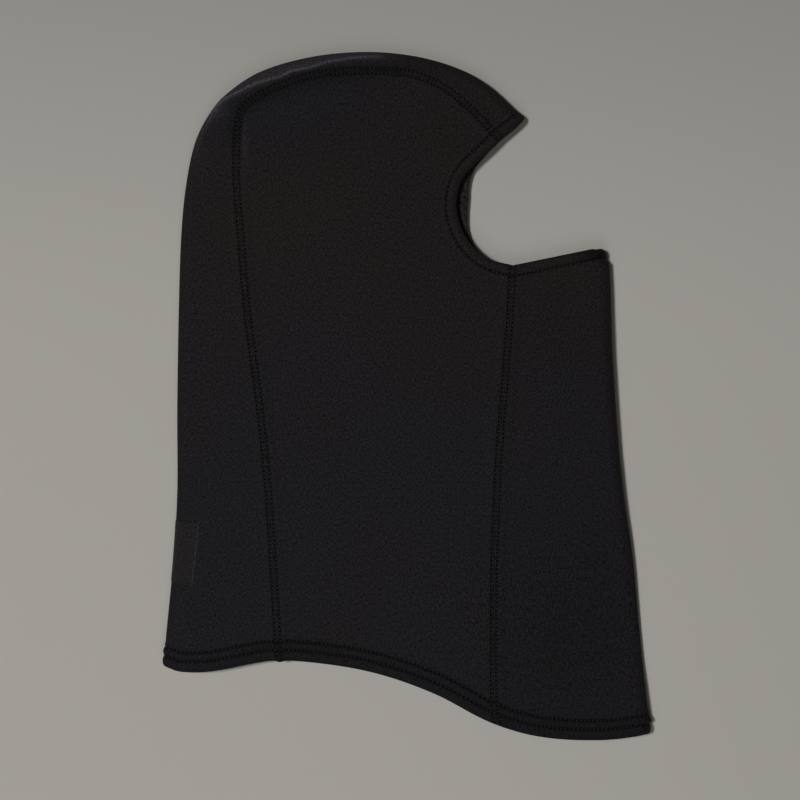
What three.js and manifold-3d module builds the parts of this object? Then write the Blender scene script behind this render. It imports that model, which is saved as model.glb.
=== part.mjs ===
// A fleece balaclava lying flat on its left side. +X points to the face, +Y to the crown, +Z up from the floor.
// Four cloth panels, the threads that join and hem them, and a blank patch over the nape fold. Millimetres.
import * as THREE from 'three';
import Module from 'manifold-3d';

const wasm = await Module();
wasm.setup();

// Overall sizes of the garment as it lies.
const garmentWidth = 297;
const garmentLength = 419;
const garmentThickness = 15;

// Cloth, seams and hems.
const fabricThickness = 1.8;
const panelGap = 0.4;
const allowanceWidth = 5;
const allowanceThickness = 1.2;
const bottomHemDepth = 13.6;
const faceHemDepth = 7.8;
const stepWidth = 0.3;

// Threads: needle rows lie sunk in the cloth, looper bands lie on the inside.
const threadWidth = 0.6;
const threadClearance = 0.35;
const seamRowSpacing = 3.2;
const crossingDip = 0.95;
const bottomHemRows = [6.7, 12.2];
const faceHemRow = 6.6;
const looperThickness = 0.5;
const looperClearance = 0.3;
const looperEndGap = 1.6;
const seamLooperWidth = 4;
const bottomLooperWidth = 6.4;
const faceUnderThreadWidth = 1.6;
const threadEndGap = 0.8;

// Patch wrapped round the nape fold: its cut size, its lean, and the height of its middle above the floor end.
const patchLength = 39.3;
const patchWidth = 35;
const patchLean = THREE.MathUtils.degToRad(5);
const patchThickness = 0.6;
const patchClearance = 0.3;
const patchRise = 112;

// Inset of a channel's open top, clear above the cloth.
const above = -1;
const middleHeight = garmentThickness / 2;
const foldRadius = garmentThickness / 2;
const stationsPerRow = 2;
const foldStep = Math.PI / 8;

const nearBlack = 0x1d191b;
const threadBlack = 0x121113;
const patchBlack = 0x1a1819;

// ---- Outlines, as percentages of the width from the back edge and of the length from the lowest point ----

// The bottom edge: height at each place along the width.
const hemOutline = [
  [0, 10.6], [4, 9.9], [10, 10], [22, 11.5], [32, 11.2], [44, 9.7],
  [56, 6.7], [67, 2.7], [77, 0.6], [90, 0], [100, 0.7],
];
// Above this height the panels are drawn as they are, below it they follow the hem.
const hemLine = 10;
const hemStraight = 14;
const hemFree = 30;

// The centre panel, brow to hem: the fold edge, then the seam beside it.
const centreStations = [
  [74, 90.8, 68.6, 87.4],
  [67, 95.1, 63.2, 91.6],
  [60.3, 97.7, 57.4, 94.8],
  [51.6, 99.4, 50.8, 96.6],
  [41.6, 100, 41.6, 97.1],
  [30.6, 99.3, 31.8, 96.6],
  [20.2, 97.2, 23.3, 94.7],
  [13, 93.9, 18.6, 92.9],
  [9.2, 90.7, 16.3, 91.3],
  [6.4, 86.6, 15.4, 88],
  [4.6, 80.5, 15.2, 81.5],
  [3.6, 73, 16.1, 73.4],
  [3.1, 62, 17.5, 62],
  [2.8, 48, 20.1, 48],
  [2.8, 36, 21.8, 36],
  [1.9, 25, 22.8, 25],
  [0.8, 14, 23.6, 14],
  [0.1, 10, 24.1, 10],
];
// The front panel, face opening to hem: the fold edge, then the seam beside it.
const frontStations = [
  [91, 71, 71.9, 68.9],
  [91.7, 63, 71.4, 62.4],
  [92.5, 53, 70.4, 53],
  [93.5, 43, 69.2, 43],
  [94.9, 33, 68.5, 33],
  [96.8, 24, 68, 24],
  [99.2, 14, 68, 14],
  [99.7, 10, 68.8, 10],
];
// The face opening from the brow to the front seam, on the upper and on the lower side panel.
const upperFaceEdge = [
  [68.6, 87.4], [66.2, 85.1], [63.3, 83], [61.2, 80.8], [60.4, 78.5],
  [60.5, 76.3], [61.6, 73.9], [63.8, 71.6], [67.2, 69.8], [71.9, 68.9],
];
const lowerFaceEdge = [
  [68.6, 87.4], [66.6, 85.2], [64.6, 82.9], [63.4, 80.7], [62.9, 78.5],
  [62.7, 76.3], [62.9, 73.9], [64.3, 71.7], [67.3, 69.8], [71.9, 68.9],
];

// ---- Plane geometry ----

function placed(across, up) {
  return new THREE.Vector2((across / 100 - 0.5) * garmentWidth, (up / 100 - 0.5) * garmentLength);
}

function splineThrough(points) {
  return new THREE.SplineCurve(points.map(([across, up]) => placed(across, up)));
}

// Smooth height through a list of places, each segment a cubic whose slopes come from its neighbours.
function heightThrough(points) {
  const places = points.map(([across, up]) => placed(across, up));
  const slopes = places.map((place, i) => {
    const before = places[Math.max(i - 1, 0)];
    const after = places[Math.min(i + 1, places.length - 1)];
    return (after.y - before.y) / (after.x - before.x);
  });
  return (x) => {
    let i = 0;
    while (i < places.length - 2 && x > places[i + 1].x) i += 1;
    const span = places[i + 1].x - places[i].x;
    const t = (x - places[i].x) / span;
    const rise = 3 * t * t - 2 * t * t * t;
    const leave = t * (1 - t) * (1 - t) * span * slopes[i];
    const arrive = t * t * (t - 1) * span * slopes[i + 1];
    return places[i].y * (1 - rise) + places[i + 1].y * rise + leave + arrive;
  };
}

const hemHeight = heightThrough(hemOutline);
const hemLevel = placed(0, hemLine).y;
const hemStraightTop = placed(0, hemStraight).y;
const hemFreeTop = placed(0, hemFree).y;

// Moves a point of the straight-hemmed pattern down to the curved hem, keeping widths square to the hem.
function followHem(point) {
  const share = THREE.MathUtils.smoothstep(point.y, hemStraightTop, hemFreeTop);
  const slope = hemHeight(point.x + 0.5) - hemHeight(point.x - 0.5);
  const drop = hemHeight(point.x) - hemLevel;
  const stretch = (point.y - hemLevel) * (Math.hypot(1, slope) - 1);
  return new THREE.Vector2(point.x, point.y + (1 - share) * (drop + stretch));
}

// Sideways copy of an open line; a positive distance goes to the right of its direction.
function beside(line, distance) {
  return line.map((point, i) => {
    const before = line[Math.max(i - 1, 0)];
    const after = line[Math.min(i + 1, line.length - 1)];
    const along = after.clone().sub(before).normalize();
    return new THREE.Vector2(point.x + along.y * distance, point.y - along.x * distance);
  });
}

// ---- Solids ----

function solidFrom(positions, triangles) {
  const mesh = new wasm.Mesh({
    numProp: 3,
    vertProperties: new Float32Array(positions),
    triVerts: new Uint32Array(triangles),
  });
  mesh.merge();
  return new wasm.Manifold(mesh);
}

function solidFromGeometry(geometry) {
  const positions = geometry.getAttribute('position').array;
  const triangles = Array.from({ length: positions.length / 3 }, (_, i) => i);
  return solidFrom(positions, triangles);
}

// Closed wall between an outer and an inner grid of points, both given as rows of THREE.Vector3.
function wallBetween(outer, inner) {
  const rows = outer.length;
  const columns = outer[0].length;
  const positions = [...outer.flat(), ...inner.flat()].flatMap((point) => point.toArray());
  const triangles = [];
  const index = (side, row, column) => (side * rows + row) * columns + column;
  const quad = (a, b, c, d) => triangles.push(a, b, c, a, c, d);
  for (let row = 0; row < rows - 1; row += 1) {
    for (let column = 0; column < columns - 1; column += 1) {
      quad(index(0, row, column), index(0, row, column + 1),
        index(0, row + 1, column + 1), index(0, row + 1, column));
      quad(index(1, row, column), index(1, row + 1, column),
        index(1, row + 1, column + 1), index(1, row, column + 1));
    }
  }
  for (let row = 0; row < rows - 1; row += 1) {
    quad(index(0, row, 0), index(0, row + 1, 0), index(1, row + 1, 0), index(1, row, 0));
    quad(index(0, row + 1, columns - 1), index(0, row, columns - 1),
      index(1, row, columns - 1), index(1, row + 1, columns - 1));
  }
  for (let column = 0; column < columns - 1; column += 1) {
    quad(index(0, 0, column + 1), index(0, 0, column), index(1, 0, column), index(1, 0, column + 1));
    quad(index(0, rows - 1, column), index(0, rows - 1, column + 1),
      index(1, rows - 1, column + 1), index(1, rows - 1, column));
  }
  const solid = solidFrom(positions, triangles);
  return solid.volume() < 0 ? wallBetween(inner, outer) : solid;
}

// Flat plate over an outline, from one height to another.
function plate(outline, low, high) {
  const geometry = new THREE.ExtrudeGeometry(new THREE.Shape(outline), {
    depth: high - low,
    bevelEnabled: false,
  });
  geometry.translate(0, 0, low);
  return solidFromGeometry(geometry);
}

// Flat band beside a line, between two sideways distances and two heights.
function band(line, near, far, low, high) {
  return plate([...beside(line, near), ...beside(line, far).reverse()], low, high);
}

const assembly = new THREE.Group();
assembly.name = 'balaclava';

function addPiece(name, solid, color, roughness) {
  const made = solid.getMesh();
  const geometry = new THREE.BufferGeometry();
  geometry.setAttribute('position', new THREE.BufferAttribute(new Float32Array(made.vertProperties), 3));
  geometry.setIndex(new THREE.BufferAttribute(new Uint32Array(made.triVerts), 1));
  geometry.computeVertexNormals();
  const mesh = new THREE.Mesh(geometry, new THREE.MeshStandardMaterial({ color, roughness, metalness: 0 }));
  mesh.name = name;
  assembly.add(mesh);
}

// ---- Folded strips: the centre panel and the front panel ----

// side is +1 on the upper layer and -1 on the lower one. across is the distance in from the fold edge.
function makeStrip(stations) {
  const fold = splineThrough(stations);
  const seam = splineThrough(stations.map(([, , across, up]) => [across, up]));
  const station = (t) => {
    const start = fold.getPoint(t);
    const end = seam.getPoint(t);
    return { start, end, width: start.distanceTo(end) };
  };
  const flat = (t, across) => {
    const { start, end, width } = station(t);
    return followHem(start.clone().lerp(end, across / width));
  };
  const onFold = (t, angle, inset) => {
    const reach = foldRadius - (foldRadius - inset) * Math.cos(angle);
    const point = flat(t, reach);
    return new THREE.Vector3(point.x, point.y, middleHeight + (foldRadius - inset) * Math.sin(angle));
  };
  const onFlat = (t, across, side, inset) => {
    const point = flat(t, across);
    return new THREE.Vector3(point.x, point.y, middleHeight + side * (foldRadius - inset));
  };
  // A point of the cloth by its length round the fold from the fold edge, positive on the upper layer.
  const onCloth = (t, around, inset) => {
    const turn = foldRadius * Math.PI / 2;
    if (Math.abs(around) < turn) return onFold(t, around / foldRadius, inset);
    return onFlat(t, Math.abs(around) - turn + foldRadius, Math.sign(around), inset);
  };
  // The place along the strip where its middle lies a distance in from the face opening or up from the hem.
  const fromEnd = (atHem, distance) => {
    const { start, end } = station(atHem ? 1 : 0);
    const edge = end.clone().sub(start).normalize();
    const away = (t) => {
      const here = station(t);
      const middle = here.start.clone().lerp(here.end, 0.5).sub(start);
      return Math.abs(middle.cross(edge));
    };
    let low = atHem ? 1 : 0;
    let high = atHem ? 0.8 : 0.2;
    for (let i = 0; i < 40; i += 1) {
      const halfway = (low + high) / 2;
      if (away(halfway) < distance) low = halfway;
      else high = halfway;
    }
    return low;
  };
  return { stations, station, onFold, onFlat, onCloth, fromEnd };
}

function foldAngles(side) {
  const count = Math.round(Math.PI / 2 / foldStep);
  return Array.from({ length: count }, (_, i) => side * (Math.PI / 2 - i * foldStep));
}

// Wall of a strip over the given places along it. columns holds [across, outer inset, inner inset] from the seam
// in to the fold for each layer; the fold itself has the insets of the last column.
function stripWall(strip, rows, columnsAt) {
  const outer = [];
  const inner = [];
  for (const t of rows) {
    const columns = columnsAt(t);
    const [, foldOuter, foldInner] = columns.at(-1);
    const angles = [...foldAngles(1), 0, ...foldAngles(-1).reverse()];
    outer.push([
      ...columns.map(([across, inset]) => strip.onFlat(t, across, 1, inset)),
      ...angles.map((angle) => strip.onFold(t, angle, foldOuter)),
      ...columns.map(([across, inset]) => strip.onFlat(t, across, -1, inset)).reverse(),
    ]);
    inner.push([
      ...columns.map(([across, , inset]) => strip.onFlat(t, across, 1, inset)),
      ...angles.map((angle) => strip.onFold(t, angle, foldInner)),
      ...columns.map(([across, , inset]) => strip.onFlat(t, across, -1, inset)).reverse(),
    ]);
  }
  return wallBetween(outer, inner);
}

// Even places from one distance in down towards the fold.
function flatColumns(from) {
  const count = 3;
  return Array.from({ length: count }, (_, i) => THREE.MathUtils.lerp(from, foldRadius, i / count));
}

function stripPanel(strip) {
  const hemStart = strip.fromEnd(true, bottomHemDepth + stepWidth);
  const hemEnd = strip.fromEnd(true, bottomHemDepth);
  const faceEnd = strip.fromEnd(false, faceHemDepth);
  const faceStart = strip.fromEnd(false, faceHemDepth + stepWidth);
  const count = (strip.stations.length - 1) * stationsPerRow;
  const clear = 0.3 / count;
  const between = Array.from({ length: count + 1 }, (_, i) => i / count);
  const kept = between.filter((t) => t < faceEnd - clear || t > hemEnd + clear
    || (t > faceStart + clear && t < hemStart - clear));
  const rows = [...kept, faceEnd, faceStart, hemStart, hemEnd].sort((a, b) => a - b);
  return stripWall(strip, rows, (t) => {
    const hemmed = t <= faceEnd || t >= hemEnd;
    const seamEdge = strip.station(t).width - panelGap / 2;
    const allowanceEdge = Math.max(seamEdge - allowanceWidth, foldRadius + 2 * stepWidth);
    const plainInset = hemmed ? 2 * fabricThickness : fabricThickness;
    const seamInset = hemmed ? plainInset : fabricThickness + allowanceThickness;
    return [
      [seamEdge, 0, seamInset],
      [allowanceEdge, 0, seamInset],
      ...flatColumns(allowanceEdge - stepWidth).map((across) => [across, 0, plainInset]),
    ];
  });
}

const centreStrip = makeStrip(centreStations);
const frontStrip = makeStrip(frontStations);

// ---- Flat layers ----

// Places along a strip from one to another, with its stations between them.
function seamPlaces(strip, from, to) {
  const count = (strip.stations.length - 1) * stationsPerRow;
  const clear = 0.3 / count;
  const between = Array.from({ length: count + 1 }, (_, i) => i / count);
  return [from, ...between.filter((t) => t > from + clear && t < to - clear), to];
}

// The seam beside a strip, between two places along it.
function seamLine(strip, from = 0, to = 1) {
  return seamPlaces(strip, from, to).map((t) => strip.station(t).end);
}

const centreSeam = seamLine(centreStrip);
const frontSeam = seamLine(frontStrip);
const faceStep = 7;
const faceLines = [[upperFaceEdge, 1], [lowerFaceEdge, -1]].map(([points, side]) => {
  const edge = splineThrough(points);
  return { side, line: edge.getSpacedPoints(Math.round(edge.getLength() / faceStep)) };
});

// Line across the side panels at a height above the straight-pattern hem, from the centre seam to the front seam.
function hemLineUp(distance, overrun) {
  const count = 14;
  const from = centreSeam.at(-1).x - overrun;
  const to = frontSeam.at(-1).x + overrun;
  return Array.from({ length: count + 1 }, (_, i) =>
    new THREE.Vector2(THREE.MathUtils.lerp(from, to, i / count), hemLevel + distance));
}

// Flat plate on one layer over a straight-pattern outline, between two insets from the outer surface.
function layerPlate(outline, side, outerInset, innerInset) {
  const heights = [outerInset, innerInset].map((inset) => middleHeight + side * (foldRadius - inset));
  return plate(outline.map(followHem), Math.min(...heights), Math.max(...heights));
}

function layerBand(line, near, far, side, outerInset, innerInset) {
  return layerPlate([...beside(line, near), ...beside(line, far).reverse()], side, outerInset, innerInset);
}

function sidePanel({ line, side }) {
  const centreEdge = beside(centreSeam, -panelGap / 2);
  const frontEdge = beside(frontSeam, panelGap / 2);
  const outline = [
    ...centreEdge,
    ...hemLineUp(0, 0).slice(1, -1),
    ...frontEdge.toReversed(),
    ...line.slice(1, -1).reverse(),
  ];
  const overlap = 0.1;
  const under = fabricThickness - overlap;
  const throughout = layerPlate(outline, side, 0, 2 * fabricThickness + allowanceThickness);
  const doubled = [
    layerBand(centreSeam, 0, -allowanceWidth, side, under, fabricThickness + allowanceThickness),
    layerBand(frontSeam, 0, allowanceWidth, side, under, fabricThickness + allowanceThickness),
    layerBand(line, -1, faceHemDepth, side, under, 2 * fabricThickness),
    layerPlate([...hemLineUp(-1, 2), ...hemLineUp(bottomHemDepth, 2).reverse()], side, under, 2 * fabricThickness),
  ];
  const cloth = layerPlate(outline, side, 0, fabricThickness);
  return doubled.reduce((body, extra) => body.add(extra.intersect(throughout)), cloth);
}

// ---- Runs round the garment: hem threads, their channels and the bands inside ----

// Closed run across a strip, between two distances from its end, reaching a little past both seams.
function runOnStrip(strip, atHem, near, far, outerInset, innerInset) {
  const reach = 2;
  const rows = [near, far].map((distance) => strip.fromEnd(atHem, distance)).sort((a, b) => a - b);
  return stripWall(strip, rows, (t) => {
    const seamEdge = strip.station(t).width + reach;
    const allowanceEdge = Math.max(seamEdge - reach - panelGap / 2 - allowanceWidth, foldRadius + 2 * stepWidth);
    return [seamEdge, ...flatColumns(allowanceEdge)].map((across) => [across, outerInset, innerInset]);
  });
}

function bottomRun(near, far, outerInset, innerInset) {
  const outline = [...hemLineUp(near, 2), ...hemLineUp(far, 2).reverse()];
  return [
    runOnStrip(centreStrip, true, near, far, outerInset, innerInset),
    runOnStrip(frontStrip, true, near, far, outerInset, innerInset),
    layerPlate(outline, 1, outerInset, innerInset),
    layerPlate(outline, -1, outerInset, innerInset),
  ].reduce((body, extra) => body.add(extra));
}

function faceRun(near, far, outerInset, innerInset) {
  return [
    runOnStrip(centreStrip, false, near, far, outerInset, innerInset),
    runOnStrip(frontStrip, false, near, far, outerInset, innerInset),
    ...faceLines.map(({ line, side }) => layerBand(line, near, far, side, outerInset, innerInset)),
  ].reduce((body, extra) => body.add(extra));
}

// Thread row along a seam, deeper where the hem stitches cross over it. grow widens it into its channel, which is
// open above.
function seamRow(strip, offset, side, grow) {
  const half = threadWidth / 2 + grow;
  const isChannel = grow > 0;
  const ramp = 1.5;
  const faceCrossing = faceHemRow + threadWidth + threadClearance + 0.4;
  const hemCrossing = Math.max(...bottomHemRows) + threadWidth + threadClearance + 0.4;
  const faceRamp = [strip.fromEnd(false, faceCrossing), strip.fromEnd(false, faceCrossing + ramp)];
  const hemRamp = [strip.fromEnd(true, hemCrossing + ramp), strip.fromEnd(true, hemCrossing)];
  const from = strip.fromEnd(false, threadEndGap - grow);
  const to = strip.fromEnd(true, threadEndGap - grow);
  const places = [...seamPlaces(strip, from, faceRamp[0]), ...seamPlaces(strip, faceRamp[1], hemRamp[0]),
    ...seamPlaces(strip, hemRamp[1], to)];
  const line = places.map((t) => strip.station(t).end);
  const edges = [offset - half, offset + half].map((distance) => beside(line, distance).map(followHem));
  const grid = (insetAt) => places.map((t, i) => edges.map((edge) =>
    new THREE.Vector3(edge[i].x, edge[i].y, middleHeight + side * (foldRadius - insetAt(t)))));
  const dip = (t) => (t <= faceRamp[0] || t >= hemRamp[1] ? crossingDip : 0);
  return wallBetween(grid((t) => (isChannel ? above : dip(t))), grid((t) => threadWidth + grow + dip(t)));
}

// ---- The patch ----

function patchSolid(grow, outerInset, innerInset) {
  const halfWidth = patchWidth / 2 + grow;
  const halfLength = patchLength / 2 + grow;
  const middle = hemLevel + patchRise - placed(0, hemLine).y + placed(0, 0).y;
  const stripPlace = (y) => {
    let low = 0.5;
    let high = 1;
    for (let i = 0; i < 40; i += 1) {
      const halfway = (low + high) / 2;
      if (centreStrip.station(halfway).start.y > y) low = halfway;
      else high = halfway;
    }
    return low;
  };
  const rowShares = [-1, 0, 1];
  const columnShares = Array.from({ length: 15 }, (_, i) => i / 7 - 1);
  const grid = (inset) => rowShares.map((row) => columnShares.map((column) => {
    const around = column * halfWidth + row * halfLength * Math.sin(patchLean);
    const along = row * halfLength - column * halfWidth * Math.sin(patchLean);
    return centreStrip.onCloth(stripPlace(middle + along), around, inset);
  }));
  return wallBetween(grid(outerInset), grid(innerInset));
}

// ---- Assembly ----

const channelDepth = threadWidth + threadClearance;
const seams = [
  { name: 'centre_seam', strip: centreStrip },
  { name: 'front_seam', strip: frontStrip },
];
const layers = [
  { name: 'right', side: 1 },
  { name: 'left', side: -1 },
];
const threads = [];
const channels = [];

for (const seam of seams) {
  for (const layer of layers) {
    for (const [row, offset] of [['first', -seamRowSpacing / 2], ['second', seamRowSpacing / 2]]) {
      threads.push([`${seam.name}_${layer.name}_needle_thread_${row}`,
        seamRow(seam.strip, offset, layer.side, 0)]);
      channels.push(seamRow(seam.strip, offset, layer.side, threadClearance));
    }
    const start = seam.strip.fromEnd(false, faceHemDepth + stepWidth + looperEndGap);
    const end = seam.strip.fromEnd(true, bottomHemDepth + stepWidth + looperEndGap);
    const seat = fabricThickness + allowanceThickness + looperClearance;
    threads.push([`${seam.name}_${layer.name}_looper_thread`,
      layerBand(seamLine(seam.strip, start, end), -seamLooperWidth / 2, seamLooperWidth / 2, layer.side,
        seat, seat + looperThickness)]);
  }
}

const hemRowNames = ['lower', 'upper'];
bottomHemRows.forEach((distance, i) => {
  const half = threadWidth / 2;
  threads.push([`bottom_hem_needle_thread_${hemRowNames[i]}`,
    bottomRun(distance - half, distance + half, 0, threadWidth)]);
  channels.push(bottomRun(distance - half - threadClearance, distance + half + threadClearance, above, channelDepth));
});
const faceNear = faceHemRow - threadWidth / 2;
const faceFar = faceHemRow + threadWidth / 2;
threads.push(['face_hem_needle_thread', faceRun(faceNear, faceFar, 0, threadWidth)]);
channels.push(faceRun(faceNear - threadClearance, faceFar + threadClearance, above, channelDepth));

const hemSeat = 2 * fabricThickness + looperClearance;
const bottomMiddle = (bottomHemRows[0] + bottomHemRows[1]) / 2;
threads.push(['bottom_hem_looper_thread', bottomRun(bottomMiddle - bottomLooperWidth / 2,
  bottomMiddle + bottomLooperWidth / 2, hemSeat, hemSeat + looperThickness)]);
threads.push(['face_hem_under_thread', faceRun(faceHemRow - faceUnderThreadWidth / 2,
  faceHemRow + faceUnderThreadWidth / 2, hemSeat, hemSeat + looperThickness)]);

const panels = [
  ['side_panel_right', sidePanel(faceLines[0])],
  ['side_panel_left', sidePanel(faceLines[1])],
  ['centre_panel', stripPanel(centreStrip).subtract(patchSolid(patchClearance, above, patchThickness + patchClearance))],
  ['front_panel', stripPanel(frontStrip)],
];
for (const [name, solid] of panels) {
  addPiece(name, channels.reduce((body, channel) => body.subtract(channel), solid), nearBlack, 0.9);
}
for (const [name, solid] of threads) {
  addPiece(name, solid, threadBlack, 0.6);
}
addPiece('blank_patch', patchSolid(0, 0, patchThickness), patchBlack, 0.8);

// The origin lies under the middle of the whole garment, on the floor.
const bounds = new THREE.Box3().setFromObject(assembly);
const centre = bounds.getCenter(new THREE.Vector3());
for (const piece of assembly.children) {
  piece.geometry.translate(-centre.x, -centre.y, -bounds.min.z);
}

export default assembly;
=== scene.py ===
import math

import bpy
import numpy as np
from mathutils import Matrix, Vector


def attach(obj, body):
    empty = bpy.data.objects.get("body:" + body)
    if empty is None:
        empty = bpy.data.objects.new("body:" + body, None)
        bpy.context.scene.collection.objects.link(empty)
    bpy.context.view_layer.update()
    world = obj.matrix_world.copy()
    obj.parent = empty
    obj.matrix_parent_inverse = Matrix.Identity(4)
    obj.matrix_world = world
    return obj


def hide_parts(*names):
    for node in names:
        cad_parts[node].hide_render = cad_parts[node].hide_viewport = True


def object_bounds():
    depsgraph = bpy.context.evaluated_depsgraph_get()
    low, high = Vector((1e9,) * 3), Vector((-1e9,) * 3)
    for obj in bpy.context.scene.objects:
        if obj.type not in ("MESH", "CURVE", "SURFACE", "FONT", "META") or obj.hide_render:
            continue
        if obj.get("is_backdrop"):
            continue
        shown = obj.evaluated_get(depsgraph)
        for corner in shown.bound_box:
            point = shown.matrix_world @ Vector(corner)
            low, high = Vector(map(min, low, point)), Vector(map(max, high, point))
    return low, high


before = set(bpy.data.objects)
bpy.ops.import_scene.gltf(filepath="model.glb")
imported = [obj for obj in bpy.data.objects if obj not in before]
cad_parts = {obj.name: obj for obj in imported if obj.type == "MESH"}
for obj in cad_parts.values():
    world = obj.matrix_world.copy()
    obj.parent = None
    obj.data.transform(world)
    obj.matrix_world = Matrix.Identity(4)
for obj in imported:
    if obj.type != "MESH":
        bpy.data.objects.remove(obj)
cadLow, cadHigh = (np.array(corner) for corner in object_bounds())
print("frame loaded")

mm = 0.001

# The garment lies on its left side: +X to the face, +Y to the crown, +Z up. Shares below are hundredths
# of its width from the back edge and hundredths of its length from the lowest point.
garment = {
    "middle": (cadLow + cadHigh) / 2,
    "width": cadHigh[0] - cadLow[0],
    "length": cadHigh[1] - cadLow[1],
    "cloth": 1.8 * mm,
    "panelGap": 0.12 * mm,
    "foldReach": 6.5 * mm,
    "hemLine": 10,          # height of the straight pattern's hem
    "hemStraight": 14,      # below this the pattern follows the hem, above hemFree it is drawn as it is
    "hemFree": 30,
    "crossingBump": 0.9 * mm,    # the thick seam end pushes the hem's edge out
    "crossing": 24.1,
}

hemOutline = [
    (0, 10.6), (4, 9.9), (10, 10), (22, 11.5), (32, 11.2), (44, 9.7),
    (56, 6.7), (67, 2.7), (77, 0.6), (90, 0), (100, 0.7),
]
# brow to hem: fold edge, then the seam beside it
centreStations = [
    (74.6, 90.1, 69.4, 87.1), (67, 95.1, 63.2, 91.6), (60.3, 97.7, 57.4, 94.8), (51.6, 99.4, 50.8, 96.6),
    (41.6, 100, 41.6, 97.1), (30.6, 99.3, 31.8, 96.6), (20.2, 97.2, 23.3, 94.7), (13, 93.9, 18.6, 92.9),
    (9.2, 90.7, 16.3, 91.3), (6.4, 86.6, 15.4, 88), (4.6, 80.5, 15.2, 81.5), (3.6, 73, 16.1, 73.4),
    (3.1, 62, 17.5, 62), (2.8, 48, 20.1, 48), (2.8, 36, 21.8, 36), (1.9, 25, 22.8, 25),
    (0.45, 14, 23.6, 14), (0.1, 10, 24.1, 10),
]
# chin to hem: fold edge, then the seam beside it
frontStations = [
    (91.2, 71.7, 71.9, 68.9), (91.7, 63, 71.4, 62.4), (92.5, 53, 70.4, 53), (93.5, 43, 69.2, 43),
    (94.9, 33, 68.5, 33), (96.8, 24, 68, 24), (99.2, 14, 68, 14), (99.7, 10, 68.8, 10),
]
# brow seam to front seam
faceEdges = {
    1: [(69.4, 87.1), (66.5, 85.1), (63.3, 83), (61.2, 80.8), (60.4, 78.5),
        (60.5, 76.3), (61.6, 73.9), (63.8, 71.6), (67.2, 69.8), (71.9, 68.9)],
    -1: [(69.4, 87.1), (66.6, 85.1), (64.1, 82.9), (63.1, 80.7), (62.9, 78.5),
         (62.7, 76.3), (62.9, 73.9), (64.3, 71.7), (67.3, 69.8), (71.9, 68.9)],
}


# Vectors at unit length: each divided by its own length.
def unit(vectors):
    return vectors / np.linalg.norm(vectors, axis=-1, keepdims=True)


# Shares to places: the middle of the garment plus the share, less a half, of its width and length.
def placed(shares):
    shares = np.asarray(shares, float) / 100 - 0.5
    return garment["middle"][:2] + shares * (garment["width"], garment["length"])


# Uniform Catmull-Rom curve: each span is a cubic whose end slopes are half the step between its
# neighbours.
def splineAt(points, t):
    last = len(points) - 1
    spot = np.clip(t, 0, 1) * last
    i = np.minimum(spot.astype(int), last - 1)
    f = (spot - i)[..., None]
    a, b = points[np.maximum(i - 1, 0)], points[i]
    c, d = points[i + 1], points[np.minimum(i + 2, last)]
    return b + 0.5 * (f * (c - a) + f**2 * (2 * a - 5 * b + 4 * c - d) + f**3 * (3 * b - a - 3 * c + d))


# Cubic Hermite curve through places ordered by x, with the slope at each taken across its two neighbours.
def heightAt(places, x):
    px, py = places[:, 0], places[:, 1]
    before = np.maximum(np.arange(len(px)) - 1, 0)
    after = np.minimum(np.arange(len(px)) + 1, len(px) - 1)
    slopes = (py[after] - py[before]) / (px[after] - px[before])
    i = np.clip(np.searchsorted(px, x) - 1, 0, len(px) - 2)
    span = px[i + 1] - px[i]
    t = (x - px[i]) / span
    rise = 3 * t**2 - 2 * t**3
    return (py[i] * (1 - rise) + py[i + 1] * rise
            + t * (1 - t)**2 * span * slopes[i] + t**2 * (t - 1) * span * slopes[i + 1])


# Soft step: 0 up to low, 1 from high, and 3t^2 - 2t^3 between, with t the share of the way.
def smooth(low, high, value):
    t = np.clip((value - low) / (high - low), 0, 1)
    return t * t * (3 - 2 * t)


# Bell curve: e to minus the square of the distance from the centre over the width.
def bump(value, centre, width):
    return np.exp(-((value - centre) / width)**2)


hemPlaces = placed(hemOutline)
hemLevel, hemStraightTop, hemFreeTop = (
    placed((0, garment[key]))[1] for key in ("hemLine", "hemStraight", "hemFree"))


# Straight-hemmed pattern to the real curved hem: the drop of the hem at each x, fading out above it.
# Heights over the hem are stretched by its slope, so that they stay square to the edge.
def followHem(pre):
    x, y = pre[..., 0], pre[..., 1]
    step = 0.5 * mm
    slope = (heightAt(hemPlaces, x + step) - heightAt(hemPlaces, x - step)) / (2 * step)
    crossing = garment["middle"][0] + (garment["crossing"] / 100 - 0.5) * garment["width"]
    drop = heightAt(hemPlaces, x) - hemLevel - garment["crossingBump"] * bump(x, crossing, 2 * mm)
    stretch = (y - hemLevel) * (np.hypot(1, slope) - 1)
    share = 1 - smooth(hemStraightTop, hemFreeTop, y)
    return np.stack([x, y + share * (drop + stretch)], -1)


# Running length along a line: the sum of its pieces up to each point.
def arcLengths(line):
    return np.concatenate([[0], np.cumsum(np.linalg.norm(np.diff(line, axis=0), axis=1))])


# Each column of values read at new lengths, straight between the old ones.
def resampled(values, lengths, at):
    return np.stack([np.interp(at, lengths, values[:, k]) for k in range(values.shape[1])], -1)


# Shortest distance from each point to a line of straight pieces, and how far along the line that place
# is.
def lineNearest(points, line):
    flat = points.reshape(-1, 2)
    best, along = np.full(len(flat), np.inf), np.zeros(len(flat))
    for start, end, length in zip(line[:-1], line[1:], arcLengths(line)):
        way = end - start
        share = np.clip((flat - start) @ way / (way @ way), 0, 1)
        distance = np.hypot(*(flat - start - share[:, None] * way).T)
        nearer = distance < best
        best[nearer] = distance[nearer]
        along[nearer] = (length + share * math.sqrt(way @ way))[nearer]
    return best.reshape(points.shape[:-1]), along.reshape(points.shape[:-1])


# The first of the two results above.
def lineDistance(points, line):
    return lineNearest(points, line)[0]


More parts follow.
